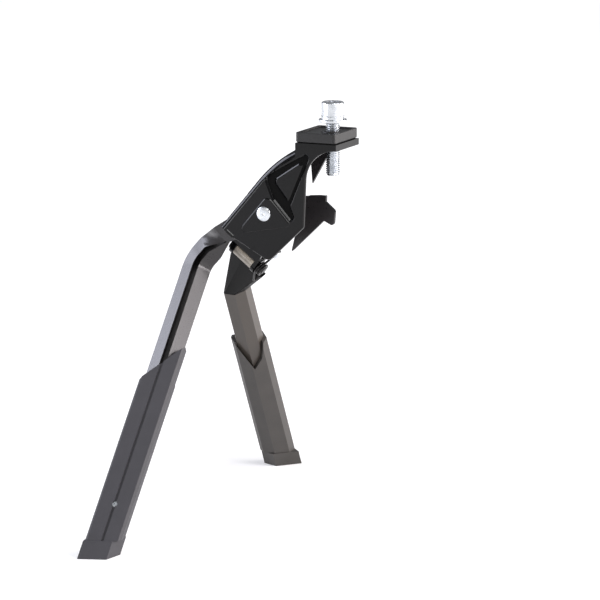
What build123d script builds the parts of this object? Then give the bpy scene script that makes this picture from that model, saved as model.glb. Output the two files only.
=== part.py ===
"""Two-leg bicycle kickstand with a folding carrier and height-adjustable feet.

Frame: +X to the bicycle's rear, +Y to its right, +Z up, in millimetres.
The origin is on the mounting bolt's axis, at the top face of the seat block.
The stand is drawn in use, with both legs down.
"""
import os
from math import cos, radians, sin

from build123d import *

os.makedirs("parts", exist_ok=True)

# Seat block and mounting bolt
SEAT_LENGTH = 30.5
SEAT_WIDTH = 40.0
SEAT_HEIGHT = 7.5
SEAT_AHEAD = 20.0  # reach of the seat block ahead of the bolt axis
SEAT_LIP = 2.2  # width of the rim round the recessed seat face
SEAT_RECESS = 1.2
SEAT_GROOVE = 0.8
BOLT_D = 10.0
BOLT_BELOW = 20.0  # thread that shows under the top flange
BOLT_HEAD_D = 16.0
BOLT_HEAD_H = 10.0
BOLT_SOCKET = 8.0  # across flats
FRAME_PLATE = 6.0  # thickness of the frame plate that the bolt clamps
WASHER_D = 20.0
WASHER_T = 2.0
LOCK_WASHER_D = 16.4
LOCK_WASHER_T = 2.4
LOCK_WASHER_GAP = 1.2

# Hood: a pressed-steel bracket, open at the rear and below
SHEET = 2.5
FLANGE_T = 4.5  # thickness of the top flange
FLANGE_OVER = 0.8  # the flange is this much longer than the seat block, at the rear
HOOD_EDGE_R = 5.0  # outer radius where the cheeks turn into the front web
SHOULDER = (-39.1, -23.2)
SHOULDER_R = 100.0
HOOD_TIP = (-79.1, -70.4)
ARM_EXIT = (-68.9, -78.4)
LOW_CORNER = (-40.9, -93.6)
LOW_CORNER_R = 5.0
REAR_CORNER = (-13.7, -67.4)
REAR_CORNER_R = 4.0
REAR_ARCH = (-11.5, -14.5)
REAR_ARCH_R = 22.0
WEB_LENGTH = 30.0  # straight run of the hood's front web past the shoulder
ROLL_R = 1.6  # outer radius of the near cheek's rolled rear and lower edges
GROOVE = ((-8.6, -13.6), (-43.2, -33.0), (-37.0, -48.0), (-23.4, -63.0), (-21.8, -60.6), (-25.0, -52.6))
GROOVE_R = (2.0, 5.0, 8.0, 1.0, 1.0, 3.0)
GROOVE_DEPTH = 1.5
ISLAND = ((-12.2, -18.0), (-38.0, -35.0), (-26.0, -50.5))
ISLAND_R = (2.0, 4.0, 1.5)
ISLAND_DEPTH = 0.3  # the island inside the groove lies this far below the cheek's face
PAD = ((-42.0, -46.5), (-66.5, -75.6), (-24.3, -67.6), (-24.0, -65.0), (-38.6, -49.2))
PAD_R = (4.0, 3.0, 1.2, 0.8, 4.0)
PAD_H = 0.8
LIP_W = 2.2
LIP_H = 0.8
SLOT_AT = (-52.7, -85.0)
SLOT_LENGTH = 7.0
SLOT_W = 1.8

# Pivot of the fold
PIVOT_X = -43.9
PIVOT_Z = -59.4
RIVET_D = 8.0
RIVET_HEAD_D = 10.6
RIVET_HEAD_H = 1.4
RIVET_FOOT_D = 13.0
RIVET_FOOT_H = 1.6

# Carrier between the cheeks
CARRIER_T = 3.0
PIVOT_WASHER_T = 1.8  # ring between the left cheek and the left leg's root
CARRIER_BOSS_R = 11.0
CARRIER_WEB_AT = 33.0  # from the pivot down to the carrier's web
WEB_MARGIN = 1.5  # of the carrier's web past its lugs
FOLD_RANGE = 100.0  # degrees that the carrier turns from down to folded

# Slanted hinge of the right leg, on the carrier
HINGE_X = -63.8
HINGE_Y = 4.0
HINGE_Z = -98.7
HINGE_SLOPE = 38.3  # degrees that the pin falls towards the rear
HINGE_PIN_D = 6.0
HINGE_HEAD_D = 9.5
HINGE_HEAD_H = 2.0
KNUCKLE_D = 11.0
KNUCKLE_AHEAD = 15.0
KNUCKLE_BEHIND = 2.0
LUG_T = 3.0
LUG_R = 6.4
CLIP_D = 10.0
CLIP_T = 1.2

# Springs
TORSION_WIRE = 1.6
TORSION_TURNS = 2
RETURN_WIRE = 1.7
RETURN_OD = 10.0
SPRING_PIN_D = 4.5
SPRING_ARM = 14.0  # from the pivot to the spring pin
TAB_T = 3.0
TAB_R = 5.0
TAB_HOLE_D = 4.6
ANCHOR_X = -30.0
ANCHOR_Z = -30.0
POST_OUT = 2.4  # spring post outside the carrier's right side
POST_D = 6.0
POST_H = 3.4
EAR_R = 3.9

# Legs: folded sheet with a slot along the outer side
LEG_SHEET = 2.2
LEG_WIDTH = 20.6
LEG_WEB = 8.6
LEG_RIDGE = 6.4  # centre to the outer ridge, and centre to the web
LEG_SIDE = 1.2  # height of the straight sides
LEG_SLOT = 4.6
ARM_SLOPE = 47.5  # degrees that the left arm falls towards the front
ARM_LENGTH = 28.5
ARM_WIDTH = 15.0
ARM_ROOT_T = 5.0
KNEE_R = 14.0
LEFT_KNEE = (-99.5, -11.5, -99.0)
RIGHT_KNEE = (-97.9, 48.0, -128.2)
RIGHT_TURN = 67.0  # degrees that the right leg's section is turned from the hinge pin
LEFT_FOOT_X = -106.5
RIGHT_FOOT_X = -111.0
FOOT_SPREAD = 309.0
GROUND = 282.6  # seat face to the ground
LEG_STOPS_ABOVE = 14.0  # end of the steel leg above the ground, along the leg
PLATE_WIDTH = 31.0  # right leg's plate at the hinge
PLATE_AHEAD = 4.0  # the plate's middle ahead of the hinge point
PLATE_T = 6.0
PLATE_LEAD = 10.0  # width of the plate's front facet at the hinge

# Feet: one moulding of sleeve and shoe
SLEEVE_WIDTH = 24.4
SLEEVE_OUT = 9.0  # leg centre to the outer face
SLEEVE_IN = 9.3  # leg centre to the inner face
SLEEVE_INNER_FACE = 11.6
SLEEVE_SIDE_LOW = -1.8
SLEEVE_SIDE_HIGH = 6.6
SLEEVE_OUTER_FACE = 21.0
SLEEVE_LOW = 131.0  # sleeve's top above the ground, along the leg, on its low side
SLEEVE_LEFT_HIGH = 163.0  # and on its high side
SLEEVE_RIGHT_HIGH = 137.5
SLEEVE_NOTCH = 112.0  # bottom of the notch in the inner side
NOTCH_AT = 4.2  # from the sleeve's middle towards its high side
NOTCH_STEEP = 3.0  # rise of the notch's sides
NOTCH_STEP_AT = 3.0
NOTCH_STEP_UP = 7.5
FOOT_GROOVE_W = 1.8
FOOT_GROOVE_D = 1.4
SHOE_RIM = 0.5  # the shoe stands out this much all round
SHOE_CUT = 5.0  # cut corner of the shoe, under the sleeve's high side
SHOE_CORNER = 2.0
SHOE_HEIGHT = 11.0  # level top of the shoe above the ground
SCREW_D = 4.0
SCREW_UP = 36.0  # foot screw above the ground, along the leg
SCREW_SOCKET = 2.0

# Clearances
RUNNING_FIT = 0.05  # radial, where one piece turns on another
PRESS_ROOM = 0.02  # radial, where a pin is fixed
SIDE_PLAY = 0.3
FOOT_ROOM = 0.3  # between a foot's sleeve and the leg inside it

# Worked out from the values above
HALF = SEAT_WIDTH / 2
SEAT_REAR = SEAT_LENGTH - SEAT_AHEAD
FLANGE_LOW = -SEAT_HEIGHT - FLANGE_T
INSIDE = HALF - SHEET
ROOT_OUT = INSIDE - PIVOT_WASHER_T - SIDE_PLAY
CARRIER_HALF = ROOT_OUT - ARM_ROOT_T
CARRIER_WIDTH = 2 * CARRIER_HALF
PIVOT = Vector(PIVOT_X, 0, PIVOT_Z)
HINGE = Vector(HINGE_X, HINGE_Y, HINGE_Z)
PIN_AXIS = Vector(cos(radians(HINGE_SLOPE)), 0, -sin(radians(HINGE_SLOPE)))
PIN_DOWN = Vector(-sin(radians(HINGE_SLOPE)), 0, -cos(radians(HINGE_SLOPE)))


def direction(start, end):
    """Unit vector from one point to another."""
    return (Vector(*end) - Vector(*start)).normalized()


def across(vector, axis):
    """Part of a vector that is square to an axis, as a unit vector."""
    return (vector - axis * vector.dot(axis)).normalized()


# Seat block: a solid block with a rimmed recess on top and a groove round its sides
with BuildPart() as seat_block:
    with BuildSketch(Plane.XY.offset(-SEAT_HEIGHT)):
        with Locations(((SEAT_REAR - SEAT_AHEAD) / 2, 0)):
            RectangleRounded(SEAT_LENGTH, SEAT_WIDTH, SEAT_LIP)
    extrude(amount=SEAT_HEIGHT)
    with BuildSketch(Plane.XY.offset(-SEAT_RECESS)):
        with Locations(((SEAT_REAR - SEAT_AHEAD) / 2, 0)):
            RectangleRounded(SEAT_LENGTH - 2 * SEAT_LIP, SEAT_WIDTH - 2 * SEAT_LIP, SEAT_LIP / 2)
        Circle(BOLT_HEAD_D / 2, mode=Mode.SUBTRACT)
    extrude(amount=SEAT_RECESS, mode=Mode.SUBTRACT)
    with BuildSketch(Plane.XY.offset(-SEAT_HEIGHT)):
        with Locations(((SEAT_REAR - SEAT_AHEAD) / 2, 0)):
            RectangleRounded(SEAT_LENGTH, SEAT_WIDTH, SEAT_LIP)
            RectangleRounded(
                SEAT_LENGTH - 2 * SEAT_GROOVE,
                SEAT_WIDTH - 2 * SEAT_GROOVE,
                SEAT_LIP - SEAT_GROOVE,
                mode=Mode.SUBTRACT,
            )
    extrude(amount=SEAT_GROOVE, mode=Mode.SUBTRACT)
    Hole(BOLT_D / 2 + PRESS_ROOM)
seat_block.part.label = "seat_block"
export_step(seat_block.part, "parts/seat_block.step")


# Bolt, plain washer and split washer: the frame plate goes between washer and seat
BOLT_END = FLANGE_LOW - BOLT_BELOW
HEAD_LOW = FRAME_PLATE + WASHER_T + LOCK_WASHER_T
with BuildPart() as mounting_bolt:
    with BuildSketch(Plane.XY.offset(BOLT_END)):
        Circle(BOLT_D / 2)
    extrude(amount=HEAD_LOW - BOLT_END)
    chamfer(mounting_bolt.faces().sort_by(Axis.Z)[0].edges(), BOLT_D / 10)
    with BuildSketch(Plane.XY.offset(HEAD_LOW)):
        Circle(BOLT_HEAD_D / 2)
    extrude(amount=BOLT_HEAD_H)
    chamfer(mounting_bolt.faces().sort_by(Axis.Z)[-1].edges(), BOLT_D / 12)
    with BuildSketch(Plane.XY.offset(HEAD_LOW + BOLT_HEAD_H)):
        RegularPolygon(BOLT_SOCKET / 2, 6, major_radius=False)
    extrude(amount=-BOLT_HEAD_H / 2, mode=Mode.SUBTRACT)
mounting_bolt.part.label = "mounting_bolt"
export_step(mounting_bolt.part, "parts/mounting_bolt.step")

with BuildPart() as bolt_washer:
    with BuildSketch(Plane.XY.offset(FRAME_PLATE)):
        Circle(WASHER_D / 2)
        Circle(BOLT_D / 2 + 4 * RUNNING_FIT, mode=Mode.SUBTRACT)
    extrude(amount=WASHER_T)
bolt_washer.part.label = "bolt_washer"
export_step(bolt_washer.part, "parts/bolt_washer.step")

with BuildPart() as lock_washer:
    with BuildSketch(Plane.XY.offset(FRAME_PLATE + WASHER_T)):
        Circle(LOCK_WASHER_D / 2)
        Circle(BOLT_D / 2 + 4 * RUNNING_FIT, mode=Mode.SUBTRACT)
        with Locations((LOCK_WASHER_D / 2, 0)):
            Rectangle(LOCK_WASHER_D / 2, LOCK_WASHER_GAP, mode=Mode.SUBTRACT)
    extrude(amount=LOCK_WASHER_T)
lock_washer.part.label = "lock_washer"
export_step(lock_washer.part, "parts/lock_washer.step")


# Hood: a block of the side outline, hollowed to leave cheeks, front web and top flange
FLANGE_REAR = SEAT_REAR + FLANGE_OVER
HOOD_OUTLINE = (
    (FLANGE_REAR, -SEAT_HEIGHT),
    (-SEAT_AHEAD, -SEAT_HEIGHT),
    (-SEAT_AHEAD, FLANGE_LOW),
    SHOULDER,
    HOOD_TIP,
    ARM_EXIT,
    LOW_CORNER,
    REAR_CORNER,
    REAR_ARCH,
    (FLANGE_REAR, FLANGE_LOW),
)
HOOD_RADII = (0, 0, 0, SHOULDER_R, 0, 0, LOW_CORNER_R, REAR_CORNER_R, REAR_ARCH_R, 0)
FRONT_RUN = (Vector(*HOOD_TIP) - Vector(*SHOULDER)).normalized()
FRONT_IN = Vector(-FRONT_RUN.Y, FRONT_RUN.X)
WEB_END = Vector(*SHOULDER) + FRONT_RUN * WEB_LENGTH
REACH = 2 * SEAT_LENGTH  # well past the hood on every side, for cuts that leave it open
TAB_MID = Vector(*SHOULDER) + FRONT_IN * SHEET * 1.4
EXIT_RUN = (Vector(*ARM_EXIT) - Vector(*HOOD_TIP)).normalized()
EXIT_IN = Vector(-EXIT_RUN.Y, EXIT_RUN.X)
LIP_START = Vector(*HOOD_TIP) + EXIT_RUN * (HOOD_EDGE_R + LIP_W / 2)  # clear of the rounded edge
LOW_SLOPE = Vector(1, 0).get_signed_angle(Vector(*LOW_CORNER) - Vector(*ARM_EXIT))
FAR_WINDOW = (
    (REACH, -14.5),
    (-6.0, -14.5),
    (-13.0, -23.0),
    (-23.6, -41.8),
    (-24.7, -28.0),
    (-32.0, -27.0),
    (-37.0, -37.0),
    (-30.0, -51.5),
    (-18.5, -50.1),
    (REACH, -50.1),
)
FAR_MOUTH = (
    (LOW_CORNER[0], LOW_CORNER[1] - REACH),
    (LOW_CORNER[0] + 1.2, LOW_CORNER[1] + 3.0),
    (-37.2, -80.4),
    (-34.7, -78.4),
    (-36.0, -71.0),
    (-54.0, -72.5),
    (HOOD_TIP[0] - REACH, -72.5),
    (HOOD_TIP[0] - REACH, LOW_CORNER[1] - REACH),
)
FAR_LOBE = ((-26.0, -50.7), (-18.5, -50.1), (-6.0, -60.5), (-7.0, -72.0), (-16.2, -67.5), (-26.0, -74.0))

with BuildPart() as hood:
    with BuildSketch(Plane.XZ.offset(-HALF)):
        with BuildLine():
            FilletPolyline(*HOOD_OUTLINE, radius=HOOD_RADII, close=True)
        make_face()
    extrude(amount=SEAT_WIDTH)
    front_edges = [
        edge
        for edge in hood.edges()
        if abs(abs(edge.center().Y) - HALF) < SHEET
        and edge.center().Z < FLANGE_LOW
        and (Vector(edge.center().X, edge.center().Z) - Vector(*SHOULDER)).dot(FRONT_IN) < SHEET
        and edge.center().X > HOOD_TIP[0] / 2 - REACH / 2
        and edge.center().Z > HOOD_TIP[1]
    ]
    fillet(front_edges, HOOD_EDGE_R)
    rear_edges = [
        edge
        for edge in hood.faces().sort_by(Axis.Y)[0].edges()
        if edge.center().Z < FLANGE_LOW - SHEET
        and edge.center().X > LOW_CORNER[0]
        and (Vector(edge.center().X, edge.center().Z) - Vector(*SHOULDER)).dot(FRONT_IN) > 2 * HOOD_EDGE_R
    ]
    fillet(rear_edges, ROLL_R)
    with BuildSketch(Plane.XZ.offset(-INSIDE)):
        with BuildLine():
            FilletPolyline(*HOOD_OUTLINE, radius=HOOD_RADII, close=True)
        make_face()
        offset(amount=-SHEET)
        Polygon(
            (-SEAT_AHEAD + 2 * SHEET, FLANGE_LOW),
            (REACH, FLANGE_LOW),
            (REACH, LOW_CORNER[1] - REACH),
            (HOOD_TIP[0] - REACH, LOW_CORNER[1] - REACH),
            tuple(WEB_END - FRONT_IN * REACH)[:2],
            tuple(WEB_END + FRONT_IN * 2 * SHEET)[:2],
            (PIVOT_X, PIVOT_Z),
            align=None,
        )
        with Locations((0, FLANGE_LOW)):
            Rectangle(4 * REACH, REACH, align=(Align.CENTER, Align.MIN), mode=Mode.SUBTRACT)
    extrude(amount=2 * INSIDE, mode=Mode.SUBTRACT)
    # The far cheek is cut away at the rear and below the pivot, and ends in a rounded lobe
    for cut in (FAR_WINDOW, FAR_MOUTH):
        with BuildSketch(Plane.XZ.offset(-HALF)):
            Polygon(*cut, align=None)
        extrude(amount=2 * SHEET, mode=Mode.SUBTRACT)
    with BuildSketch(Plane.XZ.offset(-HALF)):
        with BuildLine():
            FilletPolyline(*FAR_LOBE, radius=(0, 0, 3.0, 2.0, 2.0, 0), close=True)
        make_face()
    extrude(amount=SHEET)
    # Near cheek: an island in a groove, a raised pad round the pivot, a lip at the arm's exit and a slot
    with BuildSketch(Plane.XZ.offset(HALF)):
        with BuildLine():
            FilletPolyline(*GROOVE, radius=GROOVE_R, close=True)
        make_face()
    extrude(amount=-GROOVE_DEPTH, mode=Mode.SUBTRACT)
    with BuildSketch(Plane.XZ.offset(HALF - GROOVE_DEPTH)):
        with BuildLine():
            FilletPolyline(*ISLAND, radius=ISLAND_R, close=True)
        make_face()
    extrude(amount=GROOVE_DEPTH - ISLAND_DEPTH)
    with BuildSketch(Plane.XZ.offset(HALF)):
        with BuildLine():
            FilletPolyline(*PAD, radius=PAD_R, close=True)
        make_face()
    extrude(amount=PAD_H)
    with BuildSketch(Plane.XZ.offset(HALF)):
        Polygon(
            tuple(LIP_START)[:2],
            ARM_EXIT,
            tuple(Vector(*ARM_EXIT) + EXIT_IN * LIP_W)[:2],
            tuple(LIP_START + EXIT_IN * LIP_W)[:2],
            align=None,
        )
    extrude(amount=LIP_H)
    with BuildSketch(Plane.XZ.offset(HALF)):
        with Locations(Location((SLOT_AT[0], SLOT_AT[1], 0), (0, 0, LOW_SLOPE))):
            SlotOverall(SLOT_LENGTH, SLOT_W)
    extrude(amount=-SHEET, mode=Mode.SUBTRACT)
    # Tab inside the front web for the return spring's upper hook
    with BuildSketch(Plane.XZ.offset(-TAB_T / 2)):
        with BuildLine():
            CenterArc((ANCHOR_X, ANCHOR_Z), TAB_R, 0, 360)
            Line(tuple(TAB_MID - FRONT_RUN * TAB_R)[:2], tuple(TAB_MID + FRONT_RUN)[:2])
        make_hull()
        with Locations((ANCHOR_X, ANCHOR_Z)):
            Circle(TAB_HOLE_D / 2, mode=Mode.SUBTRACT)
    extrude(amount=TAB_T)
    with Locations(Plane.XZ.shift_origin((PIVOT_X, 0, PIVOT_Z))):
        Hole(RIVET_D / 2 + PRESS_ROOM)
    with Locations((0, 0, -SEAT_HEIGHT)):
        Hole(BOLT_D / 2 + PRESS_ROOM, depth=FLANGE_T)
hood.part.label = "hood"
export_step(hood.part, "parts/hood.step")


# Pivot: two short rivets, with the spring free to pass between them
CARRIER_INSIDE = CARRIER_HALF - CARRIER_T


def pivot_plane(side, distance):
    """Plane square to the pivot, facing outwards on one side (-1 left, 1 right)."""
    return Plane((PIVOT_X, side * distance, PIVOT_Z), x_dir=(1, 0, 0), z_dir=(0, side, 0))


for side, name, seat in ((-1, "pivot_rivet_left", HALF + PAD_H), (1, "pivot_rivet_right", HALF)):
    with BuildPart() as pivot_rivet:
        with BuildSketch(pivot_plane(side, CARRIER_INSIDE - SIDE_PLAY)):
            Circle(RIVET_D / 2)
        extrude(amount=seat - CARRIER_INSIDE + SIDE_PLAY)
        with BuildSketch(pivot_plane(side, CARRIER_INSIDE - SIDE_PLAY)):
            Circle(RIVET_FOOT_D / 2)
        extrude(amount=-RIVET_FOOT_H)
        with BuildSketch(pivot_plane(side, seat)):
            Circle(RIVET_HEAD_D / 2)
        extrude(amount=RIVET_HEAD_H)
        chamfer(pivot_rivet.faces().sort_by(Axis.Y)[0 if side < 0 else -1].edges(), RIVET_HEAD_H / 2)
    pivot_rivet.part.label = name
    export_step(pivot_rivet.part, f"parts/{name}.step")

for side, name, inner in (
    (-1, "pivot_washer_left", ROOT_OUT + SIDE_PLAY),
    (1, "pivot_spacer_right", CARRIER_HALF + SIDE_PLAY),
):
    with BuildPart() as pivot_ring:
        with BuildSketch(pivot_plane(side, inner)):
            Circle(CARRIER_BOSS_R - SHEET)
            Circle(RIVET_D / 2 + PRESS_ROOM, mode=Mode.SUBTRACT)
        extrude(amount=INSIDE - inner)
    pivot_ring.part.label = name
    export_step(pivot_ring.part, f"parts/{name}.step")


# Carrier: two side plates, a web under them and two lugs for the slanted pin
ANCHOR = Vector(ANCHOR_X, 0, ANCHOR_Z)
PULL = (ANCHOR - PIVOT).normalized()
SPRING_PIN = PIVOT + PULL.rotate(Axis.Y, -(180 - FOLD_RANGE / 2)) * SPRING_ARM
HINGE_ALONG = (HINGE - PIVOT).dot(PIN_AXIS)
HINGE_BELOW = (HINGE - PIVOT).dot(PIN_DOWN)
LUG_FRONT = -KNUCKLE_AHEAD - SIDE_PLAY - LUG_T
LUG_REAR = KNUCKLE_BEHIND + SIDE_PLAY
WEB_FRONT = HINGE_ALONG + LUG_FRONT - WEB_MARGIN
WEB_REAR = HINGE_ALONG + LUG_REAR + LUG_T + WEB_MARGIN


def on_carrier(along, below):
    """Point in the carrier's own directions from the pivot, as X and Z."""
    point = PIVOT + PIN_AXIS * along + PIN_DOWN * below
    return (point.X, point.Z)


def pin_plane(along, side=HINGE_Y, below=0.0):
    """Plane square to the slanted pin, with its y axis up."""
    origin = HINGE + PIN_AXIS * along + PIN_DOWN * below
    return Plane((origin.X, side, origin.Z), x_dir=(0, 1, 0), z_dir=PIN_AXIS)


CARRIER_WEB_LOW = CARRIER_WEB_AT + CARRIER_T
POST_BELOW = CARRIER_WEB_AT - HINGE_BELOW - POST_D / 4
POST_Y = CARRIER_HALF + POST_OUT

with BuildPart() as leg_carrier:
    for side in (-1, 1):
        with BuildSketch(Plane.XZ.offset(-side * CARRIER_HALF)):
            with BuildLine():
                CenterArc((PIVOT_X, PIVOT_Z), CARRIER_BOSS_R, 0, 360)
                CenterArc((SPRING_PIN.X, SPRING_PIN.Z), SPRING_PIN_D, 0, 360)
                Line(on_carrier(WEB_FRONT, CARRIER_WEB_LOW), on_carrier(WEB_REAR, CARRIER_WEB_LOW))
            make_hull()
            with Locations((PIVOT_X, PIVOT_Z)):
                Circle(RIVET_D / 2 + RUNNING_FIT, mode=Mode.SUBTRACT)
            with Locations((SPRING_PIN.X, SPRING_PIN.Z)):
                Circle(SPRING_PIN_D / 2 + PRESS_ROOM, mode=Mode.SUBTRACT)
        extrude(amount=side * CARRIER_T)
    with BuildSketch(Plane.XZ.offset(CARRIER_HALF)):
        Polygon(
            on_carrier(WEB_FRONT, CARRIER_WEB_AT),
            on_carrier(WEB_REAR, CARRIER_WEB_AT),
            on_carrier(WEB_REAR, CARRIER_WEB_LOW),
            on_carrier(WEB_FRONT, CARRIER_WEB_LOW),
            align=None,
        )
    extrude(amount=-CARRIER_WIDTH)
    for start in (LUG_FRONT, LUG_REAR):
        with BuildSketch(pin_plane(start)):
            Circle(LUG_R)
            Rectangle(2 * LUG_R, HINGE_BELOW - CARRIER_WEB_AT, align=(Align.CENTER, Align.MIN))
            Circle(HINGE_PIN_D / 2 + PRESS_ROOM, mode=Mode.SUBTRACT)
        extrude(amount=LUG_T)
    # Upright ear at the rear end of the web, for the spring post
    with BuildSketch(pin_plane(WEB_REAR - HINGE_ALONG, side=POST_Y, below=POST_BELOW)):
        Circle(EAR_R)
        Rectangle(2 * EAR_R, CARRIER_WEB_LOW - HINGE_BELOW - POST_BELOW, align=(Align.CENTER, Align.MAX))
        Circle(POST_D / 4 + PRESS_ROOM, mode=Mode.SUBTRACT)
    extrude(amount=-CARRIER_T)
leg_carrier.part.label = "leg_carrier"
export_step(leg_carrier.part, "parts/leg_carrier.step")

with BuildPart() as spring_pin:
    with BuildSketch(Plane.XZ.offset(CARRIER_HALF)):
        with Locations((SPRING_PIN.X, SPRING_PIN.Z)):
            Circle(SPRING_PIN_D / 2)
    extrude(amount=-CARRIER_WIDTH)
spring_pin.part.label = "spring_pin"
export_step(spring_pin.part, "parts/spring_pin.step")

with BuildPart() as spring_post:
    with BuildSketch(pin_plane(WEB_REAR - HINGE_ALONG, side=POST_Y, below=POST_BELOW)):
        Circle(POST_D / 2)
    extrude(amount=POST_H)
    chamfer(spring_post.edges().filter_by(GeomType.CIRCLE).sort_by(Axis(HINGE, PIN_AXIS))[-1], POST_D / 4)
    with BuildSketch(pin_plane(WEB_REAR - HINGE_ALONG, side=POST_Y, below=POST_BELOW)):
        Circle(POST_D / 4)
    extrude(amount=-CARRIER_T)
spring_post.part.label = "spring_post"
export_step(spring_post.part, "parts/spring_post.step")


# Slanted hinge pin, its clip and the torsion spring between lug and clip
TORSION_LENGTH = TORSION_TURNS * TORSION_WIRE
TORSION_START = LUG_REAR + LUG_T + SIDE_PLAY
TORSION_MEAN_R = HINGE_PIN_D / 2 + TORSION_WIRE / 2 + 2 * SIDE_PLAY
CLIP_AT = TORSION_START + TORSION_LENGTH + SIDE_PLAY
PIN_END = CLIP_AT + 1.5 * CLIP_T
with BuildPart() as hinge_pin:
    with BuildSketch(pin_plane(LUG_FRONT)):
        Circle(HINGE_PIN_D / 2)
    extrude(amount=PIN_END - LUG_FRONT)
    with BuildSketch(pin_plane(LUG_FRONT)):
        Circle(HINGE_HEAD_D / 2)
    extrude(amount=-HINGE_HEAD_H)
hinge_pin.part.label = "hinge_pin"
export_step(hinge_pin.part, "parts/hinge_pin.step")

with BuildPart() as hinge_clip:
    with BuildSketch(pin_plane(CLIP_AT)):
        Circle(CLIP_D / 2)
        Circle(HINGE_PIN_D / 2 + PRESS_ROOM, mode=Mode.SUBTRACT)
    extrude(amount=CLIP_T)
hinge_clip.part.label = "hinge_clip"
export_step(hinge_clip.part, "parts/hinge_clip.step")


# Legs: directions, and the frame of each straight lower leg
LEFT_GROUND = Vector(LEFT_FOOT_X, -FOOT_SPREAD / 2, -GROUND)
RIGHT_GROUND = Vector(RIGHT_FOOT_X, FOOT_SPREAD / 2, -GROUND)
ARM_DIR = Vector(-cos(radians(ARM_SLOPE)), 0, -sin(radians(ARM_SLOPE)))
LEFT_DIR = direction(LEFT_KNEE, LEFT_GROUND)
RIGHT_DIR = direction(RIGHT_KNEE, RIGHT_GROUND)
ARM_ACROSS = Vector(0, -1, 0).cross(ARM_DIR)
BEND = Axis((0, 0, 0), ARM_DIR.cross(LEFT_DIR))
LEFT_ACROSS = ARM_ACROSS.rotate(BEND, ARM_DIR.get_angle(LEFT_DIR))
PLATE_DIR = across(Vector(*RIGHT_KNEE) - HINGE, PIN_AXIS)
RIGHT_ACROSS = across(PIN_AXIS, RIGHT_DIR).rotate(Axis((0, 0, 0), RIGHT_DIR), -RIGHT_TURN)
RIGHT_LENGTH = (RIGHT_GROUND - Vector(*RIGHT_KNEE)).length


def folded_outline(out, inset=0.0):
    """Outer or inner line of the folded leg section; out is the side that the slot faces."""
    lip = 1.2 * inset  # an inner corner is this far in, where two slanted sides meet
    side = LEG_SIDE / (2 + 2 * inset)
    return [
        (LEG_SLOT / 2, out * (LEG_RIDGE - lip)),
        (LEG_WIDTH / 2 - lip, out * side),
        (LEG_WIDTH / 2 - lip, -out * side),
        (LEG_WEB / 2 - inset / 2, out * (inset - LEG_RIDGE)),
        (inset / 2 - LEG_WEB / 2, out * (inset - LEG_RIDGE)),
        (lip - LEG_WIDTH / 2, -out * side),
        (lip - LEG_WIDTH / 2, out * side),
        (-LEG_SLOT / 2, out * (LEG_RIDGE - lip)),
    ]


def flat_outline(out, width, thick, slot_at, slot, inset=0.0, lead=0.0):
    """The same eight corners, pressed flat, with the slot moved to one side."""
    top = thick / 2 - inset
    edge = width / 2 - inset
    step = min(thick / 4, top / 2)
    return [
        (slot_at + slot / 2, out * top),
        (edge, out * (top - step / 2)),
        (edge, out * (step - top)),
        (edge - step, -out * top),
        (step - edge + lead, -out * top),
        (-edge, out * (step - top)),
        (-edge, out * (top - step / 2)),
        (slot_at - slot / 2, out * top),
    ]


def slot_outline(out, slot_at, slot, depth):
    """Four corners of the slot's cut, from inside the section to past its ridge."""
    return [
        (slot_at - slot / 2, out * depth),
        (slot_at + slot / 2, out * depth),
        (slot_at + slot / 2, 0),
        (slot_at - slot / 2, 0),
    ]


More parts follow.
